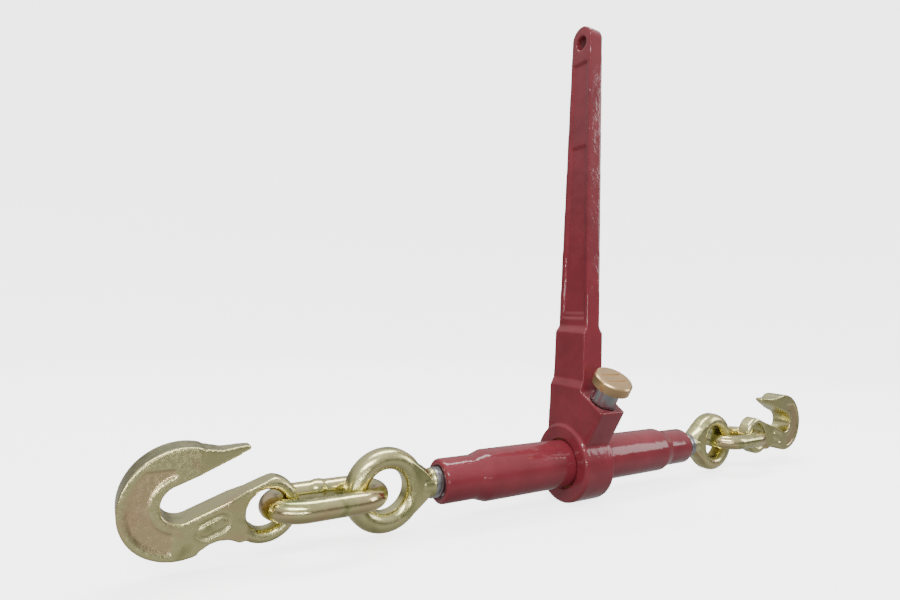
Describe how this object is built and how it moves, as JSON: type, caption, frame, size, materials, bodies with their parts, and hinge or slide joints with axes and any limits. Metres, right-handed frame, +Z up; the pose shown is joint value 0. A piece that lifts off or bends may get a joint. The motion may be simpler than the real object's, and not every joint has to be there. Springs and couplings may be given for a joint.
{
  "type": "ratchet load binder",
  "caption": "Turnbuckle barrel with a ratchet lever and reversible pawl between two eye screws, each carrying a link and a grab hook, for tightening a load chain",
  "frame": {"origin": "on the barrel axis at the middle of its length", "axes": "+X along the barrel to the right-hand hook, +Z up the lever, -Y the side the pawl knob leans to"},
  "size_m": [0.6183, 0.0818, 0.3795],
  "materials": {
    "red_enamel": "gloss deep red enamel over forged steel",
    "screw_plating": "yellow zinc plating, satin, over forged steel",
    "hook_plating": "yellow zinc plating, satin, over forged steel",
    "link_plating": "bright yellow zinc plating over drawn wire",
    "knob_plating": "yellow zinc plating, turned",
    "bright_steel": "plain machined steel, oiled",
    "spring_steel": "dark drawn spring wire",
    "bronze": "sintered bronze"
  },
  "bodies": {
    "barrel": {"barrel": "red_enamel", "ratchet_gear": "bright_steel", "gear_key": "bright_steel"},
    "lever": {"handle": "red_enamel", "housing_cover": "red_enamel", "cover_snap_ring": "bright_steel", "left_bushing": "bronze", "right_bushing": "bronze", "pawl_cap": "bright_steel", "pawl_spring": "spring_steel"},
    "lifter": {"spring_seat": "bright_steel"},
    "pawl": {"pawl": "bright_steel", "pawl_knob": "knob_plating", "knob_pin": "bright_steel"},
    "left_stop": {"left_stop_washer": "bright_steel"},
    "right_stop": {"right_stop_washer": "bright_steel"},
    "left_screw": {"left_eye_screw": "screw_plating", "left_stop_bolt": "bright_steel"},
    "right_screw": {"right_eye_screw": "screw_plating", "right_stop_bolt": "bright_steel"},
    "left_link": {"left_link": "link_plating"},
    "right_link": {"right_link": "link_plating"},
    "left_hook": {"left_hook": "hook_plating"},
    "right_hook": {"right_hook": "hook_plating"}
  },
  "joints": [
    {"name": "lever_swing", "type": "hinge", "parent": "barrel", "child": "lever", "pos_m": [-0.00225, 0, 0], "axis": [1, 0, 0], "continuous": true},
    {"name": "pawl_lift", "type": "slide", "parent": "lever", "child": "lifter", "axis": [0, -0.5, 0.866], "range_m": [0, 0.0052], "stiffness_N_per_m": 1500, "springref_m": -0.006, "deforming": ["pawl_spring"]},
    {"name": "pawl_turn", "type": "hinge", "parent": "lifter", "child": "pawl", "pos_m": [-0.00225, 0, 0], "axis": [0, -0.5, 0.866], "range_deg": [0, 180]},
    {"name": "left_turn", "type": "hinge", "parent": "left_stop", "child": "left_screw", "pos_m": [-0.0065, 0, 0], "axis": [1, 0, 0], "range_deg": [0, 7920]},
    {"name": "left_travel", "type": "slide", "parent": "barrel", "child": "left_stop", "axis": [-1, 0, 0], "range_m": [0, 0.0881]},
    {"name": "right_travel", "type": "slide", "parent": "barrel", "child": "right_stop", "axis": [1, 0, 0], "range_m": [0, 0.0881]},
    {"name": "right_turn", "type": "hinge", "parent": "right_stop", "child": "right_screw", "pos_m": [0.013, 0, 0], "axis": [1, 0, 0], "range_deg": [0, 7920]},
    {"name": "left_link_swing", "type": "hinge", "parent": "left_screw", "child": "left_link", "pos_m": [-0.16275, 0, 0], "axis": [0, 1, 0], "range_deg": [-90, 90]},
    {"name": "right_link_swing", "type": "hinge", "parent": "right_screw", "child": "right_link", "pos_m": [0.16925, 0, 0], "axis": [0, 1, 0], "range_deg": [-90, 90]},
    {"name": "left_hook_swing", "type": "hinge", "parent": "left_link", "child": "left_hook", "pos_m": [-0.23145, 0, 0], "axis": [0, 1, 0], "range_deg": [-75, 75]},
    {"name": "right_hook_swing", "type": "hinge", "parent": "right_link", "child": "right_hook", "pos_m": [0.23795, 0, 0], "axis": [0, 1, 0], "range_deg": [-75, 75]}
  ],
  "couplings": [
    {"joint": "left_travel", "follows": "left_turn", "m_per_rad": 0.00063662},
    {"joint": "right_travel", "follows": "left_turn", "m_per_rad": 0.00063662},
    {"joint": "right_turn", "follows": "left_turn", "ratio": 1}
  ]
}
